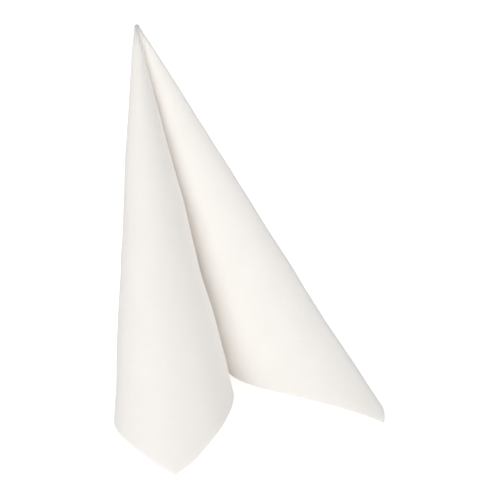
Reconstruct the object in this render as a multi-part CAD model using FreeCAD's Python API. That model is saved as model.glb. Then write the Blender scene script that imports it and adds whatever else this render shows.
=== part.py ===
# Paper napkin, folded and stood up as a table decoration.
#
# The open napkin is a square. It is folded in half, so every wall here is two plies thick. The
# middle of the folded side is the tip. A second fold, the crease, runs from the tip down to the
# middle of the open side and parts the sheet into two square panels. Each panel is rolled
# backwards into a hollow cone. The left panel's folded side ends short of the crease, and the right
# panel's passes behind it. The napkin stands on the foot of the crease, on the free corners of the
# two panels and on the feet of their folded sides.
#
# Every wall is part of a cone with its point at the tip, so the sheet unrolls without stretching.
# A place on a panel is given by its sweep, the angle at the tip from the crease: 0 at the crease,
# 45 degrees at the free corner, 90 degrees at the folded side. Sizes are in millimetres and
# degrees, +Z is up, and the origin is on the table under the tip.
import FreeCAD, Part
import math
import os
from FreeCAD import Rotation, Vector

SIZES = [
    ("open_side", 400, "side of the open napkin"),
    ("wall", 1.2, "two plies of soft paper"),
    ("crease_lean", 8.9, "angle between the crease and a plumb line from the tip"),
    ("crease_bearing", 60, "side that the foot of the crease lies to, from the front"),
    ("left_bearing", 8.8, "side that the left free corner points to, from the front"),
    ("left_front_bend", 11.9, "half angle of the left cone before its corner"),
    ("left_back_bend", 6.1, "half angle of the left cone behind its corner"),
    ("left_gap", 1.47, "angle at the tip between the crease and the left back wall's plane"),
    ("right_bearing", 46, "side that the right free corner points to, from the front"),
    ("right_front_bend", 9.5, "half angle of the right cone before its corner"),
    ("right_back_bend", 2.5, "half angle of the right cone behind its corner"),
    ("right_gap", 5.61, "angle at the tip between the crease and the right back wall's plane"),
    ("tip_start", 4, "distance from the tip's point at which the paper begins"),
]

CORNER_SWEEP = math.radians(45)
PANEL_SWEEP = math.radians(90)
BEND_SECTIONS = 9
HALVINGS = 60
PACKING = 0.85
PACKED_MARGIN = 1.15


def size(name):
    return float(sheet.get(name))


def angle_size(name):
    return math.radians(size(name))


# Directions from the tip

def ray(bearing, lean):
    """The direction that leans from straight down by an angle, towards a bearing from the front."""
    out = math.sin(lean)
    return Vector(out * math.sin(bearing), -out * math.cos(bearing), -math.cos(lean))


def turned(vector, axis, angle):
    return Rotation(axis, math.degrees(angle)).multVec(vector)


def step(place, length, bend, side):
    """Walks along a panel by a sweep: straight over a flat wall, or round a cone of a half angle."""
    outward, along = place
    axis = outward.cross(along)
    angle = length
    if bend:
        axis = axis + outward * (side / math.tan(bend))
        angle = length / math.sin(bend)
    return turned(outward, axis, angle), turned(along, axis, angle)


def inward(place, side):
    """The normal of the wall, towards the hollow of its cone."""
    outward, along = place
    return outward.cross(along) * side


def halved(low, high, too_low):
    for _ in range(HALVINGS):
        middle = (low + high) / 2
        if too_low(middle):
            low = middle
        else:
            high = middle
    return (low + high) / 2


# One panel, as stretches of sweep that are flat or bent

def front_of_panel(crease, corner, bend, side):
    """The flat wall from the crease and the bend that ends at the free corner."""
    reach = crease.getAngle(corner)
    start = (crease, crease.cross(Vector(0, 1, 0)).normalize())

    def ends(start, bent):
        flat_end = step(start, CORNER_SWEEP - bent, 0, side)
        return flat_end, step(flat_end, bent, bend, side)

    bent = halved(0, half_turn(bend), lambda b: ends(start, b)[1][0].getAngle(crease) > reach)
    landed = across(ends(start, bent)[1][0], crease)
    wanted = across(corner, crease)
    swing = math.copysign(landed.getAngle(wanted), landed.cross(wanted).dot(crease))
    start = (crease, turned(start[1], crease, swing))
    flat_end, at_corner = ends(start, bent)
    return start, flat_end, at_corner, bent


def half_turn(bend):
    return min(CORNER_SWEEP, math.pi * math.sin(bend))


def across(vector, axis):
    """The part of a vector that is square to an axis."""
    return vector - axis * vector.dot(axis)


def back_of_panel(crease, at_corner, bend, gap, side):
    """The sweep of the bend behind the corner that sends the back wall one gap behind the crease."""
    def misses(turn):
        return inward(step(at_corner, turn, bend, side), side).dot(crease) > math.sin(gap)

    return halved(0, half_turn(bend), misses)


def panel(name, crease, corner, side):
    """The stretches of a panel: where each starts, its sweep at the start and end, and its bend."""
    front_bend = angle_size(name + "_front_bend")
    back_bend = angle_size(name + "_back_bend")
    gap = angle_size(name + "_gap")
    start, flat_end, at_corner, bent = front_of_panel(crease, corner, front_bend, side)
    turn = back_of_panel(crease, at_corner, back_bend, gap, side)
    last_flat = step(at_corner, turn, back_bend, side)
    return [
        (start, 0, CORNER_SWEEP - bent, 0),
        (flat_end, CORNER_SWEEP - bent, CORNER_SWEEP, front_bend),
        (at_corner, CORNER_SWEEP, CORNER_SWEEP + turn, back_bend),
        (last_flat, CORNER_SWEEP + turn, PANEL_SWEEP, 0),
    ]


def edge_distance(sweep):
    """How far from the tip the sheet's cut edge lies at a sweep."""
    return half_side / max(math.cos(sweep), math.sin(sweep))


def section_corners(place, sweep, side):
    """The wall cut along one straight line from the tip: thin at the tip, then of even thickness."""
    outward = place[0]
    normal = inward(place, side)
    edge = edge_distance(sweep)
    thin = size("wall") * size("tip_start") / packed
    return [
        outward * size("tip_start"),
        outward * size("tip_start") + normal * thin,
        outward * packed + normal * size("wall"),
        outward * edge + normal * size("wall"),
        outward * edge,
    ]


def outline(corners):
    return Part.makePolygon(corners + corners[:1])


def flat_wall(place, first, last, side):
    near = section_corners(place, first, side)
    far = section_corners(step(place, last - first, 0, side), last, side)
    loops = [near, far]
    for i in range(len(near)):
        loops.append([near[i - 1], near[i], far[i], far[i - 1]])
    shell = Part.makeShell([Part.Face(outline(loop)) for loop in loops])
    solid = Part.makeSolid(shell)
    solid.fix(0, 0, 0)
    return solid


def bent_wall(place, first, last, bend, side):
    sections = []
    for i in range(BEND_SECTIONS):
        sweep = first + (last - first) * i / (BEND_SECTIONS - 1)
        sections.append(outline(section_corners(step(place, sweep - first, bend, side), sweep, side)))
    return Part.makeLoft(sections, True, False)


def walls(stretches, side):
    """One solid for each flat wall and each bend of a panel."""
    solids = []
    for place, first, last, bend in stretches:
        if bend:
            solids.append(bent_wall(place, first, last, bend, side))
        else:
            solids.append(flat_wall(place, first, last, side))
    return solids


def packed_tip(stretches, side):
    """The plies pressed together inside the top of one cone."""
    rays = [stretches[0][0][0]]
    for place, first, last, bend in stretches[1:3]:
        for i in range(BEND_SECTIONS):
            rays.append(step(place, (last - first) * i / BEND_SECTIONS, bend, side)[0])
    rays.append(stretches[3][0][0])
    middle = Vector()
    for one in rays:
        middle = middle + one
    middle.normalize()
    rings = []
    for depth in (size("tip_start"), packed):
        centre = middle * depth
        ring = [centre + (one * (depth / one.dot(middle)) - centre) * PACKING for one in rays]
        rings.append(outline(ring))
    return Part.makeLoft(rings, True, True)


def crease_fold(crease):
    """The rounded back of the crease, which joins the two panels."""
    start = size("tip_start")
    radius = size("wall")
    top = Part.makeCone(radius * start / packed, radius, packed - start, crease * start, crease)
    rest = Part.makeCylinder(radius, half_side - packed, crease * packed, crease)
    return top.fuse(rest)


def folded_napkin():
    crease_lean = angle_size("crease_lean")
    corner_lean = math.acos(math.cos(crease_lean) * math.cos(CORNER_SWEEP))
    crease = ray(angle_size("crease_bearing"), crease_lean)
    solids = []
    for name, side in (("left", 1), ("right", -1)):
        corner = ray(angle_size(name + "_bearing"), corner_lean)
        stretches = panel(name, crease, corner, side)
        solids += walls(stretches, side)
        solids.append(packed_tip(stretches, side))
    solids.append(crease_fold(crease))
    napkin = solids[0].fuse(solids[1:]).removeSplitter()
    return napkin


doc = FreeCAD.newDocument("paper_napkin")
sheet = doc.addObject("Spreadsheet::Sheet", "Sizes")
for row, (name, value, meaning) in enumerate(SIZES, start=1):
    sheet.set("A%d" % row, meaning)
    sheet.set("B%d" % row, str(value))
    sheet.setAlias("B%d" % row, name)
doc.recompute()
half_side = size("open_side") / 2
tightest_bend = min(angle_size(name + "_back_bend") for name in ("left", "right"))
packed = PACKED_MARGIN * size("wall") / math.sin(tightest_bend)

napkin = doc.addObject("Part::Feature", "Napkin")
napkin.Label = "napkin"
napkin.Shape = folded_napkin()
lowest = napkin.Shape.optimalBoundingBox(False, False).ZMin
napkin.Placement = FreeCAD.Placement(Vector(0, 0, -lowest), Rotation())
doc.recompute()

for item in doc.Objects:
    if "Invalid" in item.State or "Error" in item.State:
        raise RuntimeError("%s did not recompute" % item.Label)
if napkin.Shape.isNull() or not napkin.Shape.isValid():
    raise RuntimeError("the napkin has no valid shape")
if len(napkin.Shape.Solids) != 1:
    raise RuntimeError("the napkin is in %d pieces" % len(napkin.Shape.Solids))
os.makedirs("parts", exist_ok=True)
napkin.Shape.exportStep("parts/%s.step" % napkin.Label)
box = napkin.Shape.optimalBoundingBox(False, False)
print("napkin", napkin.Shape.Volume, box)
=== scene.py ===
# Paper napkin, folded in half and stood up as two hollow cones on a white studio floor.
#
# The CAD node has one thick wall. Here the two plies are modelled, as one closed sheet that turns round
# at the folded sides and ends in two separate edges along the cut sides. It is swept along the same
# straight lines from the tip as the CAD. Then the crease is pressed together, the cones become a little
# fuller near the tip, the left cut edge sags, and the tissue gets its soft waves.
#
# A place on a panel is given by its distance from the tip and its sweep, the angle at the tip from the
# crease: 0 at the crease, 45 degrees at the free corner, 90 degrees at the folded side. Lengths are in
# metres and angles in radians. +Z is up, the front is towards -Y, and the origin is under the tip.
import math

import bpy
from mathutils import Matrix, Vector, noise


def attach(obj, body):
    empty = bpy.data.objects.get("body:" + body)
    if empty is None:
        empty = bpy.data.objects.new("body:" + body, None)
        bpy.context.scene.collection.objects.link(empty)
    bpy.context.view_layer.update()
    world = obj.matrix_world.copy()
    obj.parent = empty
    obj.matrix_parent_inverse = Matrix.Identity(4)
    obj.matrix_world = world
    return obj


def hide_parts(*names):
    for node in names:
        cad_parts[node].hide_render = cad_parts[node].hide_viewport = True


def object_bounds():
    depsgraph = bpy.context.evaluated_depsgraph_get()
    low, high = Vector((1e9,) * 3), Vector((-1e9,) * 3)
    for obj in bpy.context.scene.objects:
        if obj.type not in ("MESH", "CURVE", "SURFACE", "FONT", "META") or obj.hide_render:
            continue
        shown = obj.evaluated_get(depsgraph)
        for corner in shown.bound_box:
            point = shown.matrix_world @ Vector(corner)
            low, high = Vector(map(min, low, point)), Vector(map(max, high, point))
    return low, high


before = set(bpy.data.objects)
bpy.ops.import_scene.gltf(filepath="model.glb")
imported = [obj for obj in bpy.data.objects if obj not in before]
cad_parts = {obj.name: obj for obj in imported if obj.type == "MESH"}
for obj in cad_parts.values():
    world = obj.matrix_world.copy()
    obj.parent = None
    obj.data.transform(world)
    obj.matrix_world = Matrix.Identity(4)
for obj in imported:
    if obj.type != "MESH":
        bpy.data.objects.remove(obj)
cad_low, cad_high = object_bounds()

# The fold, with the values that the CAD has, where the panels' angles are in degrees
OPEN_SIDE = 0.4
HALF_SIDE = OPEN_SIDE / 2
CORNER_SWEEP = math.radians(45)
PANEL_SWEEP = math.radians(90)
CREASE_LEAN = math.radians(8.9)
CREASE_BEARING = math.radians(60)
PANELS = {
    "left": {"side": 1, "bearing": 8.8, "front_bend": 11.9, "back_bend": 6.1, "gap": 1.47},
    "right": {"side": -1, "bearing": 46, "front_bend": 9.5, "back_bend": 2.5, "gap": 5.61},
}
HALVINGS = 60

# How far the paper's own thickness lifts the tip
LIFT = 0.00067

# The two plies, as depths behind the outer surface of the CAD
PLY = 0.00042
PLY_GAP = 0.00016
FACE_DEPTH = 0.00014
FOLD_CENTRE = FACE_DEPTH + PLY + PLY_GAP / 2

# The tip is blunt: a short cap closes it, the sheet stands a little outside the cones near it, and the
# plies are pressed thin towards it
TIP_START = 0.0007
TIP_CAP = 0.0003
TIP_BLUNT = 0.0010
TIP_BLUNT_UNTIL = 0.018
FULL_THICKNESS_FROM = 0.022

# How finely the mesh is cut, with the rows closer together towards the tip
FLAT_COLUMNS = 16
BEND_COLUMNS = 34
CREASE_COLUMNS = 6
FOLD_COLUMNS = 6
ROWS = 46
ROW_CROWDING = 1.25

# The cut edges are shaded as sharp, and all gentler bends as round
SHARP_ANGLE = math.radians(50)

# The crease's shift and the cones' fullness grow from nothing at the tip to all of it at this distance
GROWN_FROM = 0.02

# The crease is pressed: its two walls, which would leave it a few degrees apart, touch up to one sweep
# and are free from another
PRESSED_ANGLE = math.radians(1.45)
PRESSED_SWEEP = math.radians(19)
FREE_SWEEP = math.radians(31)

# Near the tip, the pressed walls lean over to the left cone
CREASE_SHIFT = 0.0011
SHIFTED_SWEEP = math.radians(6)
SHIFTED_UNTIL = 0.12
UNSHIFTED_FROM = 0.17

# Each cone is fuller than a true cone up to one distance from the tip, and true from another
FULLNESS = {"left": 0.0018, "right": 0.0012}
FULL_UNTIL = {"left": 0.15, "right": 0.08}
SLIM_FROM = {"left": 0.23, "right": 0.16}

# Soft waves of the tissue, each with its height, its length and the place where its noise is read
SWELL = (0.0010, 0.055, (3.1, 0.4, 1.7))
RIPPLE = (0.0004, 0.017, (7.3, 2.9, 0.2))
EDGE_CURL = (0.0004, 0.034, (1.3, 8.9, 5.2))
CURL_REACH = 0.035

# The sheet is still along the crease and at the tip, and wavy further away
STILL_SWEEP = math.radians(1)
WAVY_SWEEP = math.radians(22)
STILL_UNTIL = 0.01
WAVY_FROM = 0.12

# Here and there along the cut edge, the inner ply stands off from the outer one
PLY_SPREAD = 0.9
SPREAD_REACH = 0.03
SPREADS_PER_RADIAN = 6
SPREAD_LAYER = 0.5

# The left panel's free corner is soft, and its cut edge sags between the corner and both ends
SOFT_PANEL = "left"
CORNER_ROUNDING = 0.0032
CORNER_ROUNDING_SWEEP = math.radians(1.6)
EDGE_SAG = 0.0020
SAG_SWEEPS = [math.radians(angle) for angle in (4, 18, 62, 78)]

# The photograph: 500 pixels square, with the tip at this pixel
PHOTO = 500
PHOTO_TIP = (136.1, 24.0)
FOCAL_PIXELS = 1312
TIP_DISTANCE = 0.8
CAMERA_PITCH = math.radians(21.5)
SENSOR = 36

# The studio
FLOOR_SIZE = 16
FLOOR_COLOUR = (0.95, 0.95, 0.95, 1)
FLOOR_GLOW = 0.66
LAMP_SIZE = 0.8
LAMP_COLOUR = (1, 0.952, 0.885)
KEY_PLACE = (-0.8, -1.1, 0.9)
KEY_POWER = 5.9
FRONT_PLACE = (0.3, -1.45, 0.6)
FRONT_POWER = 8.3
WORLD_COLOUR = (1, 1, 1, 1)
WORLD_STRENGTH = 0.56

# The tissue's colour goes from light to shade in faint clouds: a noise's scale, detail and stretch
PAPER_LIGHT = (0.940, 0.928, 0.914, 1)
PAPER_SHADE = (0.920, 0.906, 0.890, 1)
EVEN = (1, 1, 1)
CLOUDS = (90, 3, EVEN)

# The tissue's relief has fibres in two directions and soft pits: a noise's scale, detail and stretch,
# and the height of the relief
UPRIGHT_FIBRES = (900, 4, (1, 1, 0.35), 0.00025)
CROSS_FIBRES = (1000, 3, (0.3, 1, 1), 0.00020)
PITS = (160, 2, EVEN, 0.00050)
RELIEF_STRENGTH = 0.35

# Light passes through tissue, and goes back and forth many times between two pale walls
LIGHT_REACH = 0.0013
LIGHT_BOUNCES = 14


# Directions from the tip

def ray(bearing, lean):
    """The direction that leans from straight down by an angle, towards a bearing from the front."""
    out = math.sin(lean)
    return Vector((out * math.sin(bearing), -out * math.cos(bearing), -math.cos(lean)))


def turned(vector, axis, angle):
    return Matrix.Rotation(angle, 3, axis) @ vector


def step(place, length, bend, side):
    """Walks along a panel by a sweep: straight over a flat wall, or round a cone of a half angle."""
    outward, along = place
    axis = outward.cross(along)
    angle = length
    if bend:
        axis = axis + outward * (side / math.tan(bend))
        angle = length / math.sin(bend)
    return turned(outward, axis, angle), turned(along, axis, angle)


def inward(place, side):
    """The normal of the wall, towards the hollow of its cone."""
    outward, along = place
    return (outward.cross(along) * side).normalized()


def halved(low, high, too_low):
    """The value at which too_low stops being true, found by halving the range."""
    for _ in range(HALVINGS):
        middle = (low + high) / 2
        if too_low(middle):
            low = middle
        else:
            high = middle
    return (low + high) / 2


def across(vector, axis):
    """The part of a vector that is square to an axis."""
    return vector - axis * vector.dot(axis)


def smooth(low, high, value):
    """Rises softly from 0 at the low value to 1 at the high one, or falls where low is above high."""
    share = min(1, max(0, (value - low) / (high - low)))
    return share * share * (3 - 2 * share)


# One panel, as stretches of sweep that are flat or bent

def panel_angle(name, key):
    return math.radians(PANELS[name][key])


def half_turn(bend):
    """The sweep that goes half way round a cone of a half angle, or half a panel's if that is less."""
    return min(CORNER_SWEEP, math.pi * math.sin(bend))


def front_of_panel(crease, corner, bend, side):
    """The flat wall from the crease and the bend that ends at the free corner."""
    reach = crease.angle(corner)
    start = (crease, crease.cross(Vector((0, 1, 0))).normalized())

    def ends(start, bent):
        flat_end = step(start, CORNER_SWEEP - bent, 0, side)
        return flat_end, step(flat_end, bent, bend, side)

    bent = halved(0, half_turn(bend), lambda b: ends(start, b)[1][0].angle(crease) > reach)
    landed = across(ends(start, bent)[1][0], crease)
    wanted = across(corner, crease)
    swing = math.copysign(landed.angle(wanted), landed.cross(wanted).dot(crease))
    start = (crease, turned(start[1], crease, swing))
    flat_end, at_corner = ends(start, bent)
    return start, flat_end, at_corner, bent


def stretches_of(name):
    """Where each stretch of a panel starts, its sweep at the start and end, its bend and its columns."""
    side = PANELS[name]["side"]
    front_bend = panel_angle(name, "front_bend")
    back_bend = panel_angle(name, "back_bend")
    gap = math.sin(panel_angle(name, "gap"))
    crease = ray(CREASE_BEARING, CREASE_LEAN)
    # The free corner stands on the table, level with the foot of the crease
    corner_lean = math.acos(math.cos(CREASE_LEAN) * math.cos(CORNER_SWEEP))
    corner = ray(panel_angle(name, "bearing"), corner_lean)
    start, flat_end, at_corner, bent = front_of_panel(crease, corner, front_bend, side)

    def misses(turn):
        return inward(step(at_corner, turn, back_bend, side), side).dot(crease) > gap

    turn = halved(0, half_turn(back_bend), misses)
    last_flat = step(at_corner, turn, back_bend, side)
    return [
        (start, 0, CORNER_SWEEP - bent, 0, FLAT_COLUMNS),
        (flat_end, CORNER_SWEEP - bent, CORNER_SWEEP, front_bend, BEND_COLUMNS),
        (at_corner, CORNER_SWEEP, CORNER_SWEEP + turn, back_bend, BEND_COLUMNS),
        (last_flat, CORNER_SWEEP + turn, PANEL_SWEEP, 0, FLAT_COLUMNS),
    ]


def columns_of(name):
    """The lines from the tip that a panel is swept along, and the direction past its folded side.

    The lines run from the crease to the folded side, each with its sweep, its direction and its normal.
    """
    side = PANELS[name]["side"]
    stretches = stretches_of(name)
    columns = []
    for place, first, last, bend, count in stretches:
        for i in range(count):
            length = (last - first) * i / count
            here = step(place, length, bend, side)
            columns.append((first + length, here[0], inward(here, side)))
    place, first, last, bend = stretches[-1][:4]
    end = step(place, last - first, bend, side)
    columns.append((last, end[0], inward(end, side)))
    return columns, end[1]


# How the soft sheet departs from true cones

def edge_distance(name, sweep):
    """How far from the tip the sheet's cut edge lies at a sweep."""
    straight = HALF_SIDE / max(math.cos(sweep), math.sin(sweep))
    if name != SOFT_PANEL:
        return straight
    rounding = math.exp(-((sweep - CORNER_SWEEP) / CORNER_ROUNDING_SWEEP) ** 2)
    start, full, still_full, end = SAG_SWEEPS
    sag = smooth(start, full, sweep) * smooth(end, still_full, sweep)
    return straight - CORNER_ROUNDING * rounding + EDGE_SAG * sag


def wave_at(flat, wave):
    height, length, place = wave
    return noise.noise(flat / length + Vector(place)) * height


def waves(name, sweep, distance):
    """How far the waves lift the tissue outwards at a place of the unfolded sheet."""
    side = PANELS[name]["side"]
    flat = Vector((distance * math.sin(sweep) * side, distance * math.cos(sweep), 0))
    near_edge = smooth(CURL_REACH, 0, edge_distance(name, sweep) - distance)
    lift = wave_at(flat, SWELL) + wave_at(flat, RIPPLE) + wave_at(flat, EDGE_CURL) * near_edge
    return lift * smooth(STILL_SWEEP, WAVY_SWEEP, sweep) * smooth(STILL_UNTIL, WAVY_FROM, distance)


def crease_press(name, sweep, distance):
    """How far the pressed crease moves its walls outwards, against each other and over to one side."""
    shift = -PANELS[name]["side"] * CREASE_SHIFT * smooth(0, GROWN_FROM, distance)
    shift *= smooth(UNSHIFTED_FROM, SHIFTED_UNTIL, distance)
    closing = distance * math.sin(sweep) * math.tan(PRESSED_ANGLE)
    moved = closing + shift * smooth(0, SHIFTED_SWEEP, sweep)
    return moved * smooth(FREE_SWEEP, PRESSED_SWEEP, sweep)


def fullness(name, sweep, distance):
    """How far outwards of a true cone the cone lies near the tip."""
    full = FULLNESS[name] * smooth(0, GROWN_FROM, distance)
    full *= smooth(SLIM_FROM[name], FULL_UNTIL[name], distance)
    return full * smooth(FREE_SWEEP, CORNER_SWEEP, sweep)


def ply_spread(name, sweep, distance):
    """How much deeper the inner ply lies near the cut edge, as a share of its depth."""
    near_edge = smooth(SPREAD_REACH, 0, edge_distance(name, sweep) - distance)
    place = Vector((sweep * SPREADS_PER_RADIAN, PANELS[name]["side"], SPREAD_LAYER))
    return PLY_SPREAD * near_edge * smooth(0, CORNER_SWEEP, sweep) * abs(noise.noise(place))


# The columns of one skin, each with its panel's name, its sweep, its line from the tip, and the offset
# from that line

def face_columns(name, columns, depth):
    return [(name, sweep, outward, normal * depth) for sweep, outward, normal in columns]


def crease_columns(start, end, depth):
    """The round of the crease, from the normal of one panel to that of the other."""
    crease = ray(CREASE_BEARING, CREASE_LEAN)
    angle = start.angle(end)
    if start.cross(end).dot(crease) < 0:
        angle = -angle
    columns = []
    for i in range(1, CREASE_COLUMNS):
        normal = turned(start, crease, angle * i / CREASE_COLUMNS)
        columns.append(("left", 0, crease, normal * depth))
    return columns


def fold_columns(name, column, along, half, begin):
    """The round of a folded side, from one face of the sheet to the other."""
    sweep, outward, normal = column
    columns = []
    for i in range(1, FOLD_COLUMNS):
        turn = math.pi * i / FOLD_COLUMNS
        depth = FOLD_CENTRE - begin * half * math.cos(turn)
        out = along * (half * math.sin(turn))
        columns.append((name, sweep, outward, normal * depth + out))
    return columns


def skin_columns(depth):
    """One closed loop of columns round the folded sheet, at a depth behind both of its faces."""
    left, left_along = columns_of("left")
    right, right_along = columns_of("right")
    half = FOLD_CENTRE - depth
    near, far = FOLD_CENTRE - half, FOLD_CENTRE + half
    loop = face_columns("left", left[::-1], near)
    loop += crease_columns(left[0][2], right[0][2], near)
    loop += face_columns("right", right, near)
    loop += fold_columns("right", right[-1], right_along, half, 1)
    loop += face_columns("right", right[::-1], far)
    loop += crease_columns(right[0][2], left[0][2], far)
    loop += face_columns("left", left, far)
    loop += fold_columns("left", left[-1], left_along, half, -1)
    return loop


# The mesh

def row_distance(row, edge):
    """The first row closes the blunt tip, and the others run from just below it to the cut edge."""
    if row == 0:
        return TIP_START
    start = TIP_START + TIP_CAP
    share = ((row - 1) / (ROWS - 1)) ** ROW_CROWDING
    return start + (edge - start) * share


def skin_points(loop, tip):
    """The points of one skin, row by row from the tip to the cut edge."""
    points = []
    for row in range(ROWS + 1):
        for name, sweep, outward, offset in loop:
            distance = row_distance(row, edge_distance(name, sweep))
            depth = offset.length * min(1, (distance + TIP_BLUNT) / FULL_THICKNESS_FROM)
            if offset.length > FOLD_CENTRE:
                depth *= 1 + ply_spread(name, sweep, distance)
            depth -= crease_press(name, sweep, distance)
            depth -= waves(name, sweep, distance) + fullness(name, sweep, distance)
            if row > 0:
                depth -= TIP_BLUNT * smooth(TIP_BLUNT_UNTIL, 0, distance)
            points.append(tip + outward * distance + offset.normalized() * depth)
    return points


def napkin_mesh(tip):
    """The skin round both plies and the one between them, joined by ribs at the tip and the cut edge."""
    loop = skin_columns(FACE_DEPTH)
    count = len(loop)
    outside = skin_points(loop, tip)
    inside = skin_points(skin_columns(FACE_DEPTH + PLY), tip)
    inner = len(outside)
    faces = []
    for row in range(ROWS):
        for i in range(count):
            k = (i + 1) % count
            a, b = row * count + i, row * count + k
            c, d = b + count, a + count
            faces.append((a, b, c, d))
            faces.append((inner + d, inner + c, inner + b, inner + a))
    for row in (0, ROWS):
        for i in range(count):
            k = (i + 1) % count
            a, b = row * count + i, row * count + k
            rib = (a, b, inner + b, inner + a)
            faces.append(rib if row == 0 else rib[::-1])
    mesh = bpy.data.meshes.new("napkin_plies")
    mesh.from_pydata(outside + inside, [], faces)
    mesh.validate()
    mesh.update()
    return mesh


# The finish

def noise_node(nodes, links, coordinates, scale, detail, stretch):
    mapping = nodes.new("ShaderNodeMapping")
    mapping.inputs["Scale"].default_value = stretch
    texture = nodes.new("ShaderNodeTexNoise")
    texture.inputs["Scale"].default_value = scale
    texture.inputs["Detail"].default_value = detail
    links.new(coordinates, mapping.inputs["Vector"])
    links.new(mapping.outputs["Vector"], texture.inputs["Vector"])
    return texture.outputs["Fac"]


def tissue_material():
    """Airlaid tissue: a matt white with a faint cloudiness, short fibres and a soft, pitted face."""
    material = bpy.data.materials.new("tissue")
    material.use_nodes = True
    nodes, links = material.node_tree.nodes, material.node_tree.links
    shader = nodes["Principled BSDF"]
    shader.inputs["Roughness"].default_value = 0.92
    shader.inputs["Specular IOR Level"].default_value = 0.2
    shader.inputs["Sheen Weight"].default_value = 0.12
    shader.inputs["Sheen Roughness"].default_value = 0.6
    shader.inputs["Subsurface Weight"].default_value = 0.6
    shader.inputs["Subsurface Radius"].default_value = (1, 1, 1)
    shader.inputs["Subsurface Scale"].default_value = LIGHT_REACH
    coordinates = nodes.new("ShaderNodeTexCoord").outputs["Object"]

    tone = nodes.new("ShaderNodeMix")
    tone.data_type = "RGBA"
    tone.inputs["A"].default_value = PAPER_SHADE
    tone.inputs["B"].default_value = PAPER_LIGHT
    links.new(noise_node(nodes, links, coordinates, *CLOUDS), tone.inputs["Factor"])
    links.new(tone.outputs["Result"], shader.inputs["Base Color"])

    before = None
    for scale, detail, stretch, height in (UPRIGHT_FIBRES, CROSS_FIBRES, PITS):
        bump = nodes.new("ShaderNodeBump")
        bump.inputs["Strength"].default_value = RELIEF_STRENGTH
        bump.inputs["Distance"].default_value = height
        links.new(noise_node(nodes, links, coordinates, scale, detail, stretch), bump.inputs["Height"])
        if before:
            links.new(before, bump.inputs["Normal"])
        before = bump.outputs["Normal"]
    links.new(before, shader.inputs["Normal"])
    return material


def floor_material():
    """A white floor that glows for the camera alone, so that only a faint shadow shows on it."""
    material = bpy.data.materials.new("studio_floor")
    material.use_nodes = True
    nodes, links = material.node_tree.nodes, material.node_tree.links
    nodes.clear()
    diffuse = nodes.new("ShaderNodeBsdfDiffuse")
    diffuse.inputs["Color"].default_value = FLOOR_COLOUR
    glow = nodes.new("ShaderNodeEmission")
    strength = nodes.new("ShaderNodeMath")
    strength.operation = "MULTIPLY"
    strength.inputs[1].default_value = FLOOR_GLOW
    path = nodes.new("ShaderNodeLightPath")
    both = nodes.new("ShaderNodeAddShader")
    output = nodes.new("ShaderNodeOutputMaterial")
    links.new(path.outputs["Is Camera Ray"], strength.inputs[0])
    links.new(strength.outputs["Value"], glow.inputs["Strength"])
    links.new(diffuse.outputs["BSDF"], both.inputs[0])
    links.new(glow.outputs["Emission"], both.inputs[1])
    links.new(both.outputs["Shader"], output.inputs["Surface"])
    return material


# Making the scene

def make_napkin(tip):
    piece = bpy.data.objects.new("folded_napkin", napkin_mesh(tip))
    bpy.context.collection.objects.link(piece)
    piece.data.materials.append(tissue_material())
    piece.data.shade_smooth()
    piece.data.set_sharp_from_angle(angle=SHARP_ANGLE)
    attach(piece, "root")
    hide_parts("napkin")


def make_camera(tip):
    """The camera that sees the tip at its pixel of the photograph."""
    forward = Vector((0, math.cos(CAMERA_PITCH), -math.sin(CAMERA_PITCH)))
    right = Vector((1, 0, 0))
    up = right.cross(forward)
    across_view = (PHOTO_TIP[0] - PHOTO / 2) * TIP_DISTANCE / FOCAL_PIXELS
    up_view = (PHOTO / 2 - PHOTO_TIP[1]) * TIP_DISTANCE / FOCAL_PIXELS
    data = bpy.data.cameras.new("camera")
    data.sensor_width = SENSOR
    data.lens = FOCAL_PIXELS * SENSOR / PHOTO
    camera = bpy.data.objects.new("camera", data)
    camera.location = tip - forward * TIP_DISTANCE - right * across_view - up * up_view
    camera.rotation_euler = forward.to_track_quat("-Z", "Y").to_euler()
    bpy.context.collection.objects.link(camera)
    bpy.context.scene.camera = camera


def make_floor():
    bpy.ops.mesh.primitive_plane_add(size=FLOOR_SIZE, location=(0, 0, 0))
    floor = bpy.context.object
    floor.name = "studio_floor"
    floor.data.materials.append(floor_material())


def make_lamp(name, place, power):
    """A round area lamp that points at the middle of the napkin."""
    data = bpy.data.lights.new(name, "AREA")
    data.shape = "DISK"
    data.size = LAMP_SIZE
    data.energy = power
    data.color = LAMP_COLOUR
    lamp = bpy.data.objects.new(name, data)
    lamp.location = place
    aim = (cad_low + cad_high) / 2
    lamp.rotation_euler = (aim - Vector(place)).to_track_quat("-Z", "Y").to_euler()
    bpy.context.collection.objects.link(lamp)


def make_world():
    """A white world that lights the napkin with less than the white that the camera sees."""
    world = bpy.data.worlds.new("studio")
    bpy.context.scene.world = world
    world.use_nodes = True
    nodes, links = world.node_tree.nodes, world.node_tree.links
    background = nodes["Background"]
    background.inputs["Color"].default_value = WORLD_COLOUR
    path = nodes.new("ShaderNodeLightPath")
    strength = nodes.new("ShaderNodeMapRange")
    strength.inputs["To Min"].default_value = WORLD_STRENGTH
    strength.inputs["To Max"].default_value = 1
    links.new(path.outputs["Is Camera Ray"], strength.inputs["Value"])
    links.new(strength.outputs["Result"], background.inputs["Strength"])


def set_render():
    scene = bpy.context.scene
    scene.view_settings.view_transform = "Standard"
    scene.cycles.max_bounces = LIGHT_BOUNCES
    scene.cycles.diffuse_bounces = LIGHT_BOUNCES


tip = Vector((0, 0, HALF_SIDE * math.cos(CREASE_LEAN) + LIFT))
make_napkin(tip)
make_camera(tip)
make_floor()
make_lamp("key", KEY_PLACE, KEY_POWER)
make_lamp("front", FRONT_PLACE, FRONT_POWER)
make_world()
set_render()
